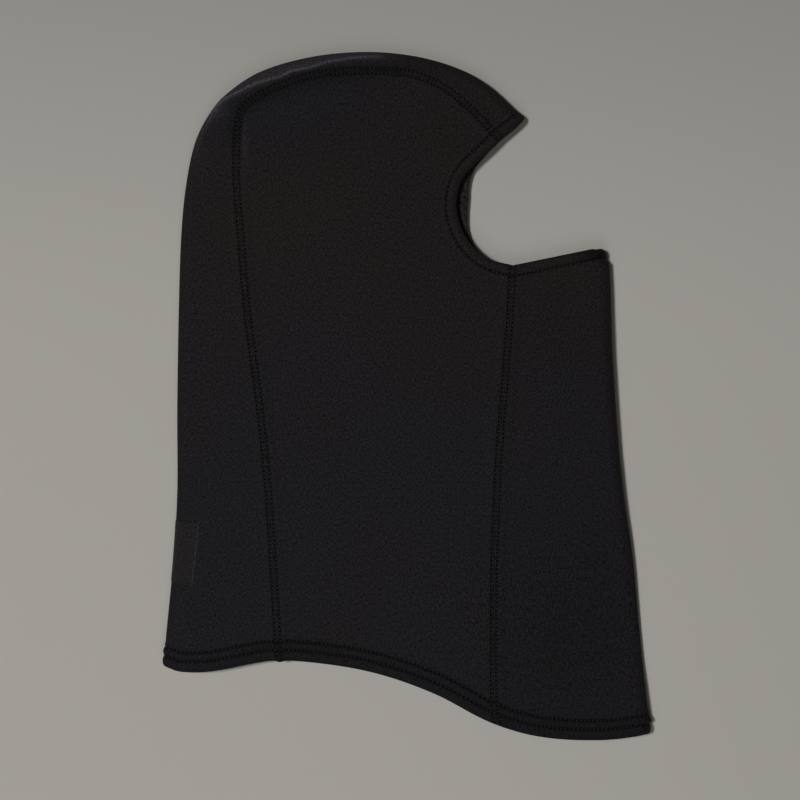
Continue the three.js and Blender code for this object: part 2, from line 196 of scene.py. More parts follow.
# The fold and seam points of a strip at places along it.
def stripEdges(strip, t):
    return splineAt(strip["fold"], t), splineAt(strip["seam"], t)


# A strip's two curves, with its distances from the face opening and from the hem at 1200 places along it.
def makeStrip(stations):
    stations = np.array(stations, float)
    strip = {"fold": placed(stations[:, :2]), "seam": placed(stations[:, 2:])}
    t = np.linspace(0, 1, 1200)
    fold, seam = stripEdges(strip, t)
    halfway = (fold + seam) / 2
    edge = unit(seam[0] - fold[0])
    away = halfway - halfway[0]
    fromFace = np.abs(away[:, 0] * edge[1] - away[:, 1] * edge[0])
    strip["fromFace"] = np.maximum.accumulate(fromFace)
    strip["fromHem"] = fold[:, 1] - hemLevel
    strip["t"] = t
    strip["along"] = arcLengths(halfway)
    return strip


# Where along the strip its middle lies a distance in from the face opening, or up from the hem.
def placeFromFace(strip, distance):
    reach = np.argmax(strip["fromFace"] > 40 * mm)
    return np.interp(distance, strip["fromFace"][:reach], strip["t"][:reach])


# The same from the hem: the fold's height over it, read backwards.
def placeFromHem(strip, distance):
    return np.interp(-np.asarray(distance), -strip["fromHem"], strip["t"])


centreStrip, frontStrip = makeStrip(centreStations), makeStrip(frontStations)
seamLines = {
    "centre": followHem(splineAt(centreStrip["seam"], np.linspace(0, 1, 220))),
    "front": followHem(splineAt(frontStrip["seam"], np.linspace(0, 1, 60))),
}
foldLines = [followHem(splineAt(centreStrip["fold"], np.linspace(0, 1, 160))),
             followHem(splineAt(frontStrip["fold"], np.linspace(0, 1, 60)))]
faceLines = {
    side: np.vstack([centreStrip["fold"][:1], splineAt(placed(points), np.linspace(0, 1, 70)),
                     frontStrip["fold"][:1]])
    for side, points in faceEdges.items()}

lie = {
    "foldHeight": 11.6 * mm,     # outer height of the upper layer just inside a fold
    "rise": 1.6 * mm,            # further rise towards the middle
    "riseReach": 26 * mm,
    "faceSag": 1.2 * mm,         # the upper layer settles towards the lower one at its open edges
    "hemSag": 0.7 * mm,
    "sagReach": 28 * mm,
    "frontSag": 4.6 * mm,        # the front fold lies flatter towards the hem
    "frontSagReach": 34 * mm,
    "frontSagRise": (5, 13), "frontSagFade": (14, 46), "frontSagLeast": 0.3,   # shares of the length
    "rest": 1.15 * mm,           # outer height of the lower layer over the floor
    "crest": 0.8 * mm,           # narrow roll of cloth along the crown, between fold and seam
    "crestWidth": 1.1 * mm,
    "crestIn": [(12.8, 3.0), (19, 7.0), (24, 6.8), (30, 6.0), (39, 4.0)],   # width share, mm from the fold
    "valley": 1.0 * mm,          # dip along the crown's seam
    "valleyWidth": 6.0 * mm,
    "waves": 0.32 * mm, "waveReach": 30 * mm,
    "lowerWaves": 0.25 * mm, "lowerWaveReach": 25 * mm,
    "chinProud": -0.5 * mm,      # the face hem's end against the front fold below it
    "frontOut": [  # how far the front fold stands out past the strip's line: share of the length, mm
        (0, -0.9), (3.6, -1.0), (5, 0.0), (9, 1.3), (16, 2.0), (26, 2.1), (34, 1.3), (42, 0.7), (56, 0.9),
        (66, 1.8), (72, 1.6)],
    "napeProud": 0.2 * mm,       # the bottom hem reaches past the back fold
    "hemSpike": 1.1 * mm,        # small point of the front fold in the bottom hem
    "tipRound": 2.0 * mm,        # the strips' corners at the open edges
    "chinRound": (4.4 * mm, 7.4 * mm),   # the chin end's softer corner: from the fold, from the edge
    "chinFade": (6.6 * mm, 9 * mm), "napeFade": (11.5 * mm, 15 * mm), "spikePlace": (8.4 * mm, 0.9 * mm),
}

waveTable = [  # wavelength in mm, direction in degrees, phase, share
    (118, 78, 0.4, 1.0), (83, 24, 2.1, 0.7), (61, 142, 4.0, 0.55), (47, 97, 1.2, 0.4), (36, 12, 5.2, 0.3),
]
puckerTable = [(13, 8, 0.3, 1.0), (9.5, 61, 1.9, 0.8), (7.2, 118, 3.3, 0.6)]
crestLine = placed([
    (8, 90), (12.8, 93.1), (14.4, 93.6), (19.2, 95.3), (23.9, 96.1),
    (26.4, 97), (30.1, 97.5), (34.2, 98.4), (39.4, 99), (45, 99.3),
])


# A sum of a few sine waves of different lengths and directions, between about -1 and 1.
def swells(xy, turn=0.0, table=waveTable):
    total = 0.0
    for length, direction, phase, share in table:
        angle = math.radians(direction + turn)
        along = xy[..., 0] * math.cos(angle) + xy[..., 1] * math.sin(angle)
        total = total + share * np.sin(2 * math.pi * along / (length * mm) + phase + turn)
    return total / 2


# Distance to the nearer of the two folds.
def foldDistance(xy):
    return np.minimum(lineDistance(xy, foldLines[0]), lineDistance(xy, foldLines[1]))


# Places back to shares: the reverse of placed.
def sharesOf(xy):
    shares = ((xy - garment["middle"][:2]) / (garment["width"], garment["length"]) + 0.5) * 100
    return shares[..., 0], shares[..., 1]


# Share of the crown roll: full over the back of the crown, fading at the nape and before the brow.
def crownShare(xy):
    x, y = sharesOf(xy)
    return smooth(83, 90, y) * smooth(3, 9, x) * (1 - smooth(35, 54, x))


# Height of the upper layer: a dome over the folds, lower at the open edges, with the crown's roll and
# valley.
def upperHeight(xy):
    inward = foldDistance(xy)
    face = lineDistance(xy, faceLines[1])
    hem = xy[..., 1] - heightAt(hemPlaces, xy[..., 0])
    crown = crownShare(xy)
    crest = lineDistance(xy, crestLine)
    valley = crown * bump(lineDistance(xy, seamLines["centre"]), 0, lie["valleyWidth"])
    height = lie["foldHeight"] + lie["rise"] * (1 - np.exp(-inward / lie["riseReach"]))
    height = height - lie["faceSag"] * np.exp(-(face / lie["sagReach"])**2)
    height = height - lie["hemSag"] * np.exp(-(np.maximum(hem, 0) / lie["sagReach"])**2)
    front = lineDistance(xy, foldLines[1])
    y = sharesOf(xy)[1]
    least = lie["frontSagLeast"]
    low = (least + (1 - least) * smooth(*lie["frontSagRise"], y)) * (1 - smooth(*lie["frontSagFade"], y))
    height = height - lie["frontSag"] * low * np.exp(-(front / lie["frontSagReach"])**2)
    height = height + crown * lie["crest"] * bump(crest, 0, lie["crestWidth"]) - lie["valley"] * valley
    return height + lie["waves"] * swells(xy) * smooth(0, lie["waveReach"], inward)


# Height of the lower layer: its rest over the floor and soft waves that never go below it.
def lowerHeight(xy):
    waves = (1 + swells(xy, 40) / 1.5) * smooth(0, lie["lowerWaveReach"], foldDistance(xy))
    return lie["rest"] + lie["lowerWaves"] * waves


# Height of one of the two layers.
def layerHeight(xy, side):
    return upperHeight(xy) if side > 0 else lowerHeight(xy)


seamWork = {
    "rowSpacing": 3.2 * mm, "rowDepth": 0.3 * mm, "rowWidth": 0.6 * mm,
    "cleft": 0.18 * mm, "cleftWidth": 0.35 * mm,
    "allowance": 5.2 * mm, "allowanceCloth": 1.2 * mm, "lift": 0.32 * mm, "liftFade": (3.7 * mm, 7.7 * mm),
}
hemWork = {
    "bottomDepth": 13.6 * mm, "bottomRows": (6.7 * mm, 12.2 * mm),
    "faceDepth": 7.8 * mm, "faceRows": (6.6 * mm,),
    "rowDepth": 0.5 * mm, "rowWidth": 0.75 * mm, "lift": 0.4 * mm, "belly": 0.5 * mm,
    "pucker": 0.13 * mm,
    "puckerHem": (9 * mm, 17 * mm), "puckerFace": (6 * mm, 11 * mm), "puckerSeam": (3 * mm, 8 * mm),
}


# Outer relief of a hem at a distance from its edge: stitch rows pressed in, the doubled cloth lifted, a
# soft belly between the rows.
def hemRelief(distance, rows, depth):
    lift = hemWork["lift"] * (1 - smooth(depth - 1.2 * mm, depth + 2.2 * mm, distance))
    pressed = sum(bump(distance, row, hemWork["rowWidth"]) for row in rows)
    stops = [0.4 * mm, *rows]
    belly = sum(bump(distance, (a + b) / 2, (b - a) / 3) for a, b in zip(stops[:-1], stops[1:]))
    return lift - hemWork["rowDepth"] * pressed + hemWork["belly"] * belly


# Half round of the doubled cloth at an open edge.
def edgeRound(distance):
    radius = garment["cloth"] * 1.05
    into = np.clip(radius - distance - 0.02 * mm, 0, radius)
    return radius - np.sqrt(radius**2 - into**2)


# Depth of the outer and inner faces of the cloth below the lying surface, from the distances to seams
# and edges.
def clothDepths(pre, xy, side):
    toHem = np.maximum(pre[..., 1] - hemLevel, 0)
    toFace = lineDistance(xy, faceLines[side])
    seam = np.minimum(lineDistance(xy, seamLines["centre"]), lineDistance(xy, seamLines["front"]))
    work = seamWork
    relief = (work["lift"] * (1 - smooth(*work["liftFade"], seam))
              - work["cleft"] * bump(seam, 0, work["cleftWidth"])
              - work["rowDepth"] * bump(seam, work["rowSpacing"] / 2, work["rowWidth"]))
    relief = relief + hemRelief(toHem, hemWork["bottomRows"], hemWork["bottomDepth"])
    relief = relief + hemRelief(toFace, hemWork["faceRows"], hemWork["faceDepth"])
    near = [share * (1 - smooth(*hemWork[key], distance)) for share, key, distance in (
        (1, "puckerHem", toHem), (1, "puckerFace", toFace), (0.7, "puckerSeam", seam))]
    relief = relief + hemWork["pucker"] * np.maximum.reduce(near) * swells(xy, 17 * side, puckerTable)
    rounding = np.maximum(edgeRound(toHem), edgeRound(toFace))
    outer = rounding - relief
    cloth = garment["cloth"]

    def upTo(end, distance):    # 1 up to the cut end of a turned layer of cloth, 0 beyond it
        return 1 - smooth(end - 0.3 * mm, end + 0.3 * mm, distance)

    allowance = work["allowanceCloth"] * upTo(work["allowance"], seam)
    turned = np.maximum(upTo(hemWork["bottomDepth"], toHem), upTo(hemWork["faceDepth"], toFace))
    inner = cloth + np.maximum(allowance, cloth * 1.1 * turned) - rounding
    return outer, inner


# How far the fold line stands out past the strip's own line: the hem ends stand proud, and the tips are
# rounded.
def foldOut(strip, t):
    fromFace = np.interp(t, strip["t"], strip["fromFace"])
    fromHem = np.interp(t, strip["t"], strip["fromHem"])
    corner = lie["tipRound"]
    into = np.clip(corner - np.minimum(fromFace, fromHem * 4), 0, corner)
    out = -(corner - np.sqrt(corner**2 - into**2))
    if strip is frontStrip:
        height = (fromHem + hemLevel - placed((0, 0))[1]) / garment["length"] * 100
        out = out + np.interp(height, *zip(*lie["frontOut"])) * mm * smooth(*lie["chinFade"], fromFace)
        out = out + lie["chinProud"] * (1 - smooth(*lie["chinFade"], fromFace))
        inReach, downReach = lie["chinRound"]
        down = np.clip(1 - fromFace / downReach, 0, 1)
        out = out - inReach * (1 - np.sqrt(1 - down**2))
        return out + lie["hemSpike"] * bump(fromHem, *lie["spikePlace"])
    return out + lie["napeProud"] * (1 - smooth(*lie["napeFade"], fromHem))


# Plan place of a strip point, then the round of the fold: up to a quarter turn the point runs round an
# ellipse between the two layers, and beyond it runs along the upper layer (around > 0) or the lower
# one.
def stripBase(strip, t, around):
    start, end = stripEdges(strip, t)
    reach = garment["foldReach"]
    turn = reach * math.pi / 2
    angle = np.minimum(np.abs(around) / reach, math.pi / 2)
    inward = np.where(np.abs(around) < turn, reach * (1 - np.cos(angle)), np.abs(around) - turn + reach)
    inward = inward - foldOut(strip, t) * (1 - smooth(0, 1.6 * reach, inward))
    pre = start + unit(end - start) * inward[..., None]
    xy = followHem(pre)
    high, low = upperHeight(xy), lowerHeight(xy)
    middle = (high + low) / 2
    z = middle + np.sign(around) * (high - middle) * np.sin(angle)
    return pre, np.concatenate([xy, z[..., None]], -1)


# Normals of a grid: the cross product of its two central differences, at unit length.
def gridNormals(points):
    down, across = np.gradient(points, axis=0), np.gradient(points, axis=1)
    normals = np.cross(down, across)
    return normals / np.maximum(np.linalg.norm(normals, axis=-1, keepdims=True), 1e-12)


# Values that run from one to another in steps of about a given size, both ends kept.
def stepped(start, end, step):
    return np.linspace(start, end, max(2, int(round(abs(end - start) / step)) + 1))


edgeSteps = np.array([0, 0.07, 0.2, 0.42, 0.72, 1.1, 1.55, 2.0]) * mm
hemSteps = np.concatenate([edgeSteps, stepped(2.4 * mm, 16 * mm, 0.45 * mm)])
faceSteps = np.concatenate([edgeSteps, stepped(2.4 * mm, 10 * mm, 0.45 * mm)])
gridWork = {
    "bodyStep": 2.2 * mm, "bodyRows": 128, "bodyColumns": 66, "stripColumns": 24, "foldColumns": 26,
    "seamZone": 8 * mm, "seamColumns": 18,
}


# Grid of a folded strip: rows along its length, columns from the upper seam round the fold to the lower
# seam.
def stripGrid(strip):
    fromFace = placeFromFace(strip, faceSteps)
    fromHem = placeFromHem(strip, hemSteps)[::-1]
    along = np.interp([fromFace[-1], fromHem[0]], strip["t"], strip["along"])
    between = np.interp(stepped(along[0], along[1], gridWork["bodyStep"])[1:-1], strip["along"], strip["t"])
    t = np.concatenate([fromFace, between, fromHem])
    fold, seam = stripEdges(strip, t)
    turn = garment["foldReach"] * math.pi / 2
    span = np.linalg.norm(fold - seam, axis=-1) - garment["panelGap"] / 2 - garment["foldReach"]
    near = np.minimum(gridWork["seamZone"], 0.8 * span)
    nearShares = np.linspace(0, 1, gridWork["seamColumns"])
    farShares = np.linspace(0, 1, gridWork["stripColumns"])[1:]
    near, span = near[:, None], span[:, None]
    fromSeam = np.concatenate([near * nearShares, near + (span - near) * farShares], 1)
    flat = turn + span - fromSeam
    arc = np.linspace(turn, 0, gridWork["foldColumns"])[1:] * np.ones((len(t), 1))
    half = np.concatenate([flat, arc], 1)
    around = np.concatenate([half, -half[:, -2::-1]], 1)
    t = t[:, None] * np.ones(around.shape[1])
    pre, base = stripBase(strip, t, around)
    along = np.interp(t, strip["t"], strip["along"])
    half = span[:, 0] + turn
    return {"pre": pre, "base": base, "uv": np.stack([around, along], -1), "hemAlong": around,
            "side": np.where(around >= 0, 1, -1), "flat": (2 * half.max(), along[-1, 0]),
            "area": ((half[1:] + half[:-1]) * np.diff(along[:, 0])).sum()}


# A side panel: blend of its four border lines (Coons patch), hem, front seam, face edge and centre seam.
def panelGrid(side):
    gap = garment["panelGap"] / 2
    left = splineAt(centreStrip["seam"], np.linspace(1, 0, 900))
    right = splineAt(frontStrip["seam"], np.linspace(1, 0, 500))
    left, right = sideways(left, gap), sideways(right, -gap)
    top = splineAt(placed(faceEdges[side]), np.linspace(0, 1, 400))
    leftLength, rightLength = arcLengths(left), arcLengths(right)
    middleShares = np.linspace(0, 1, gridWork["bodyRows"])[1:-1]
    reach, faceReach = hemSteps[-1], faceSteps[-1]

    def rowsAlong(lengths):
        total = lengths[-1]
        middle = reach + middleShares * (total - faceReach - reach)
        return np.concatenate([hemSteps, middle, total - faceSteps[::-1]])

    leftRows, rightRows = rowsAlong(leftLength), rowsAlong(rightLength)
    leftLine, rightLine = resampled(left, leftLength, leftRows), resampled(right, rightLength, rightRows)
    typicalWidth = 150 * mm
    near = np.linspace(0, gridWork["seamZone"] / typicalWidth, gridWork["seamColumns"])
    middle = np.linspace(near[-1], 1 - near[-1], gridWork["bodyColumns"])[1:-1]
    v = np.concatenate([near, middle, 1 - near[::-1]])
    topLength = arcLengths(top)
    topLine = resampled(top, topLength, v * topLength[-1])
    bottomLine = leftLine[0] + v[:, None] * (rightLine[0] - leftLine[0])
    v = v[:, None]
    topLine = topLine + (1 - v) * (leftLine[-1] - topLine[0]) + v * (rightLine[-1] - topLine[-1])
    u = (leftRows / leftLength[-1] + rightRows / rightLength[-1])[:, None, None] / 2
    between = (1 - v) * leftLine[:, None] + v * rightLine[:, None]
    pre = between + (1 - u) * (bottomLine - between[0]) + u * (topLine - between[-1])
    xy = followHem(pre)
    z = layerHeight(xy, side)
    border = np.concatenate([pre[0], pre[:, -1], pre[-1, ::-1], pre[::-1, 0]])
    x, y = border[:, 0], border[:, 1]
    area = abs(x @ np.roll(y, -1) - y @ np.roll(x, -1)) / 2
    return {"pre": pre, "base": np.concatenate([xy, z[..., None]], -1), "uv": pre.copy(),
            "side": np.full(z.shape, side), "hemAlong": pre[..., 0],
            "flat": (x.max() - x.min(), y.max() - y.min()), "area": area}


# Copy of a line moved to the right of its direction.
def sideways(line, distance):
    way = unit(np.gradient(line, axis=0))
    return line + distance * np.stack([way[:, 1], -way[:, 0]], 1)


paintedShadeWork = {
    "crownRollHighlight": 1.3, "crestHighlight": 3.4, "crownGlow": 0.5, "valleyShade": 0.5, "hem": 0.22, "least": 0.22,
    "edgeFade": (-0.6 * mm, 2.2 * mm), "crestWidth": 0.8 * mm, "glowWidth": 4 * mm, "valleyWidth": 7 * mm,
    "hemFade": (11 * mm, 16 * mm),
    # spots: painted shade at the brow seam's puckers and near the crown's top, painted highlight beside the
    # back seam, at the crown's back corner and on its crest; darker at the chin end; three broad ones
    # lighten the upper back a little and darken the lower front and lower back
    "spots": [  # place in shares, reach in mm across and along, change of shade
        ((61.4, 92.3), (3.2, 2.4), -0.55), ((66.6, 90.0), (2.0, 3.2), -0.5), ((64, 91.3), (3, 3), -0.25),
        ((16.9, 86.5), (2.2, 16), 0.7), ((10.8, 91), (7, 4.6), 0.95), ((6.5, 86), (6, 14), 0.5),
        ((48, 97.3), (16, 3), -0.42), ((55.3, 95.9), (4, 3), -0.42),
        ((43, 99.2), (14, 2.6), 0.6), ((88.3, 70.4), (9, 4.2), -0.62), ((91.0, 70.3), (6, 5), -0.35),
        ((30, 66), (60, 70), 0.06), ((80, 14), (50, 70), -0.2), ((28, 12), (40, 22), -0.08),
    ],
}


# Painted shade and painted highlight in the cloth's colour: painted highlight on the crown's roll and along
# its crest, painted shade in its valley and over the hems, with a few soft spots of both.
def paintedClothShade(pre, xy, side):
    crown = crownShare(xy) * (side > 0)
    inward = foldDistance(xy)
    crest = lineDistance(xy, crestLine)
    crestIn = np.interp(sharesOf(xy)[0], *zip(*lie["crestIn"])) * mm
    outside = 1 - smooth(*paintedShadeWork["edgeFade"], inward - crestIn)
    valley = bump(lineDistance(xy, seamLines["centre"]), 0, paintedShadeWork["valleyWidth"]) * (1 - outside)
    # painted highlight on the crown's roll and along its crest, painted shade in the valley along its seam
    shade = 1 + crown * (paintedShadeWork["crownRollHighlight"] * outside
                         + paintedShadeWork["crestHighlight"] * bump(crest, 0, paintedShadeWork["crestWidth"])
                         + paintedShadeWork["crownGlow"] * bump(crest, 0, paintedShadeWork["glowWidth"])
                         - paintedShadeWork["valleyShade"] * valley)
    toHem = np.maximum(pre[..., 1] - hemLevel, 0)
    # painted shade: darker over the hems
    shade = shade - paintedShadeWork["hem"] * (1 - smooth(*paintedShadeWork["hemFade"], toHem))
    # soft spots of painted shade and painted highlight
    for place, reach, change in paintedShadeWork["spots"]:
        off = (xy - placed(place)) / (np.array(reach) * mm)
        shade = shade + change * np.exp(-(off**2).sum(-1))
    return np.maximum(shade, paintedShadeWork["least"])


# New node group: an input without a value is a vector, the rest are plain numbers, and so are all
# outputs.
def newGroup(name, ins, outs):
    group = bpy.data.node_groups.new(name, "ShaderNodeTree")
    for label, value in ins.items():
        kind = "Vector" if value is None else "Float"
        socket = group.interface.new_socket(name=label, in_out="INPUT", socket_type="NodeSocket" + kind)
        if value is not None:
            socket.default_value = value
    for label in outs:
        group.interface.new_socket(name=label, in_out="OUTPUT", socket_type="NodeSocketFloat")
    return Wiring(group), group.nodes.new("NodeGroupInput").outputs, group.nodes.new("NodeGroupOutput")


# Adds nodes to one tree; a link or a plain value can stand for any input.
class Wiring:
    def __init__(self, tree):
        self.tree = tree

    def put(self, node, socket, value):
        if isinstance(value, bpy.types.NodeSocket):
            self.tree.links.new(value, node.inputs[socket])
        else:
            node.inputs[socket].default_value = value

    def node(self, kind, sockets, output=0, **settings):
        node = self.tree.nodes.new("ShaderNode" + kind)
        for name, value in settings.items():
            setattr(node, name, value)
        for socket, value in sockets.items():
            self.put(node, socket, value)
        return node.outputs if output is None else node.outputs[output]

    def math(self, operation, *values, clamp=False):
        return self.node("Math", dict(enumerate(values)), operation=operation, use_clamp=clamp)

    def times(self, first, second):
        return self.math("MULTIPLY", first, second)

    def plus(self, first, second, clamp=False):
        return self.math("ADD", first, second, clamp=clamp)

    def minus(self, first, second):
        return self.math("SUBTRACT", first, second)

    def noise(self, vector, scale, detail=2.0, roughness=0.5):
        sockets = {"Vector": vector, "Scale": scale, "Detail": detail, "Roughness": roughness}
        return self.node("TexNoise", sockets, "Fac")

    def spread(self, value, *ends):    # ends: from low, from high, to low, to high
        return self.node("MapRange", dict(enumerate((value, *ends))), "Result")

    def stretch(self, vector, scale):
        return self.node("Mapping", {"Vector": vector, "Scale": scale}, "Vector")

    def wave(self, vector, scale, distortion, direction="X"):
        sockets = {"Vector": vector, "Scale": scale, "Distortion": distortion, "Detail Scale": 1.5}
        return self.node("TexWave", sockets, "Fac", bands_direction=direction)

    def mix(self, share, first, second):
        return self.node("Mix", {"Factor": share, 6: first, 7: second}, 2, data_type="RGBA")

    def attribute(self, name):
        return self.node("Attribute", {}, "Vector", attribute_name=name)

    def parts(self, vector):
        return self.node("SeparateXYZ", {0: vector}, None)

    def group(self, group, values):
        return self.node("Group", values, None, node_tree=group)

    def clothPlace(self):
        return self.node("UVMap", {}, uv_map="cloth")

    def scaled(self, colour, tone):
        return self.node("VectorMath", {0: colour, "Scale": tone}, operation="SCALE")


# Knitted face: mixed light and dark fibres in short streaks, fine ribs (wales) along the cloth, slow
# drift of tone.
def makeKnit():
    sockets = {"Cloth": None, "Streak Scale": 1350.0, "Wale Scale": 320.0, "Contrast": 1.0}
    w, start, end = newGroup("knitFace", sockets, ["Tone", "Drift", "Height"])
    place, scale = start["Cloth"], start["Streak Scale"]
    along = w.noise(w.stretch(place, (1.0, 0.4, 1.0)), scale, 3.0, 0.62)
    across = w.noise(w.stretch(place, (0.45, 1.15, 1.0)), scale, 2.0, 0.6)
    flecks = w.noise(place, w.times(scale, 1.7), 1.0, 0.5)
    mixed = w.plus(w.times(along, 0.36), w.times(across, 0.26))
    mixed = w.plus(mixed, w.times(flecks, 0.38))
    tone = w.times(w.minus(mixed, 0.5), w.times(start["Contrast"], 9.5))
    drift = w.plus(w.noise(place, 14.0, 2.0, 0.5), w.times(w.minus(flecks, 0.5), 1.6))
    wales = w.wave(place, start["Wale Scale"], 1.2)
    height = w.plus(w.times(wales, 0.12), mixed)
    w.put(end, "Tone", w.math("MAXIMUM", w.plus(tone, 1.0), 0.12))
    w.put(end, "Drift", drift)
    w.put(end, "Height", height)
    return w.tree


euler = 2.718


# Needle holes: bell-shaped ovals at every stitch end, at a distance from a seam or an edge.
def makeNeedleRow():
    sockets = {"Place": None, "Distance": 2 * mm, "Pitch": 2.5 * mm,
               "Hole Width": 0.6 * mm, "Hole Length": 0.9 * mm}
    w, start, end = newGroup("needleRow", sockets, ["Hole", "Groove"])
    parts = w.parts(start["Place"])
    off = w.math("DIVIDE", w.minus(parts[0], start["Distance"]), start["Hole Width"])
    beat = w.math("DIVIDE", parts[1], start["Pitch"])
    beat = w.minus(w.math("FRACT", w.plus(beat, 0.5)), 0.5)
    beat = w.math("DIVIDE", w.times(beat, start["Pitch"]), start["Hole Length"])
    away = w.times(off, off)
    both = w.plus(away, w.times(beat, beat))
    w.put(end, "Hole", w.math("POWER", euler, w.times(both, -1.0)))
    w.put(end, "Groove", w.math("POWER", euler, w.times(away, -0.6)))
    return w.tree


# Twisted thread: slanting ribs round a length of yarn.
def makeTwist():
    w, start, end = newGroup("threadTwist", {"Thread": None, "Twist Scale": 700.0}, ["Rib", "Fuzz"])
    w.put(end, "Rib", w.wave(start["Thread"], start["Twist Scale"], 0.6, "DIAGONAL"))
    w.put(end, "Fuzz", w.noise(start["Thread"], 2600.0, 2.0, 0.6))
    return w.tree


# Plain weave: two sets of ribs at right angles, each on top in turn.
def makeWeave():
    w, start, end = newGroup("plainWeave", {"Cloth": None, "Yarn Scale": 420.0}, ["Rib", "Fleck"])
    place, scale = start["Cloth"], start["Yarn Scale"]
    warp, weft = w.wave(place, scale, 0.4), w.wave(place, scale, 0.4, "Y")
    w.put(end, "Rib", w.math("ABSOLUTE", w.minus(warp, weft)))
    w.put(end, "Fleck", w.noise(place, 1500.0, 2.0, 0.6))
    return w.tree


knitFace, needleRow, threadTwist, plainWeave = makeKnit(), makeNeedleRow(), makeTwist(), makeWeave()


# New material with its plain settings, its wiring and its shader.
def startMaterial(name, roughness, sheen, gloss, **others):
    material = bpy.data.materials.new(name)
    material.use_nodes = True
    w, shader = Wiring(material.node_tree), material.node_tree.nodes["Principled BSDF"]
    w.put(shader, "Roughness", roughness)
    w.put(shader, "Sheen Weight", sheen)
    w.put(shader, "Sheen Roughness", 0.45)
    w.put(shader, "Specular IOR Level", gloss)
    return material, w, shader


# Relief of a given full depth, from a height between 0 and 1.
def addBump(w, shader, height, distance):
    w.put(shader, "Normal", w.node("Bump", {"Height": height, "Distance": distance}, "Normal"))


faceCloth = {"warm": (0.0116, 0.0085, 0.0081, 1), "cool": (0.0091, 0.0081, 0.0103, 1), "roughness": 0.82,
             "sheen": 0.03, "gloss": 0.12, "holeShade": 0.95, "grooveShade": 0.64, "bump": 0.2 * mm}
brushedCloth = {"warm": (0.0200, 0.0160, 0.0143, 1), "cool": (0.0170, 0.0148, 0.0136, 1), "roughness": 0.95,
                "sheen": 0.16, "gloss": 0.08, "bump": 0.6 * mm}


# Outer cloth: knit streaks and drift over a warm and a cool black, times the cloth's painted shade and
# highlight, with needle holes.
def makeFaceMaterial():
    material, w, shader = startMaterial("fleeceFace", **faceCloth)
    cloth = w.clothPlace()
    knit = w.group(knitFace, {"Cloth": cloth})
    holes, grooves = 0.0, 0.0
    for label, distances in (
        ("seamPlace", (seamWork["rowSpacing"] / 2,)),
        ("hemPlace", hemWork["bottomRows"]),
        ("facePlace", hemWork["faceRows"]),
    ):
        for distance in distances:
            row = w.group(needleRow, {"Place": w.attribute(label), "Distance": distance})
            holes = w.math("MAXIMUM", holes, row["Hole"])
            grooves = w.math("MAXIMUM", grooves, row["Groove"])
    shade = w.parts(w.attribute("shade"))
    tone = w.times(knit["Tone"], shade[0])
    # painted shade: the needle holes and the stitch grooves darken the colour
    for marks, depth in ((holes, faceCloth["holeShade"]), (grooves, faceCloth["grooveShade"])):
        tone = w.times(tone, w.minus(1.0, w.times(marks, depth)))
    # painted highlight: bright flecks between the two seam rows stand in for glints on the cover thread
    between = w.spread(w.parts(w.attribute("seamPlace"))[0], 0.6 * mm, 1.5 * mm, 1.0, 0.0)
    paintedGlint = w.spread(w.noise(cloth, 620.0, 2.0, 0.6), 0.42, 0.62, -0.2, 0.9)
    tone = w.times(tone, w.plus(1.0, w.times(between, paintedGlint)))
    cool = w.plus(shade[1], w.times(w.minus(knit["Drift"], 0.5), 1.6), clamp=True)
    w.put(shader, "Base Color", w.scaled(w.mix(cool, faceCloth["warm"], faceCloth["cool"]), tone))
    w.put(shader, "Roughness", w.spread(knit["Tone"], 0.4, 1.6, 0.9, 0.72))
    addBump(w, shader, w.minus(knit["Height"], w.times(holes, 1.6)), faceCloth["bump"])
    return material


# Brushed inside: clumps of raised fibre, softer and a little lighter than the face.
def makeInsideMaterial():
    material, w, shader = startMaterial("fleeceInside", **brushedCloth)
    cloth = w.clothPlace()
    knit = w.group(knitFace, {"Cloth": cloth, "Streak Scale": 520.0, "Contrast": 0.8})
    clumps = w.noise(cloth, 240.0, 4.0, 0.65)
    tone = w.times(knit["Tone"], w.spread(clumps, 0.3, 0.7, 0.7, 1.35))
    colour = w.mix(knit["Drift"], brushedCloth["warm"], brushedCloth["cool"])
    w.put(shader, "Base Color", w.scaled(colour, tone))
    addBump(w, shader, w.plus(clumps, w.times(knit["Height"], 0.4)), brushedCloth["bump"])
    return material


# Thread: its ribs and fuzz between the colour and 0.45 of it.
def makeThreadMaterial(name, colour, gloss):
    material, w, shader = startMaterial(name, 0.55, 0.05, gloss)
    twist = w.group(threadTwist, {"Thread": w.clothPlace()})
    dark = tuple(0.45 * part for part in colour)
    share = w.plus(w.times(twist["Rib"], 0.7), w.times(twist["Fuzz"], 0.4), clamp=True)
    w.put(shader, "Base Color", w.mix(share, (*dark, 1), (*colour, 1)))
    addBump(w, shader, twist["Rib"], 0.12 * mm)
    return material


patchTones = (0.0066, 0.0055, 0.0058, 1), (0.0143, 0.0116, 0.0124, 1)


# Patch: the weave's ribs and flecks between two near blacks, with the knit's grain and the painted edge
# highlight and shade over them.
def makePatchMaterial():
    material, w, shader = startMaterial("patchCloth", 0.7, 0.04, 0.2)
    cloth = w.clothPlace()
    weave = w.group(plainWeave, {"Cloth": cloth})
    knit = w.group(knitFace, {"Cloth": cloth, "Contrast": 1.3})
    share = w.plus(w.times(weave["Rib"], 0.5), w.times(weave["Fleck"], 0.6), clamp=True)
    tone = w.times(knit["Tone"], w.parts(w.attribute("shade"))[0])
    w.put(shader, "Base Color", w.scaled(w.mix(share, *patchTones), tone))
    w.put(shader, "Roughness", w.spread(weave["Fleck"], 0.3, 0.7, 0.6, 0.8))
    addBump(w, shader, weave["Rib"], 0.14 * mm)
    return material


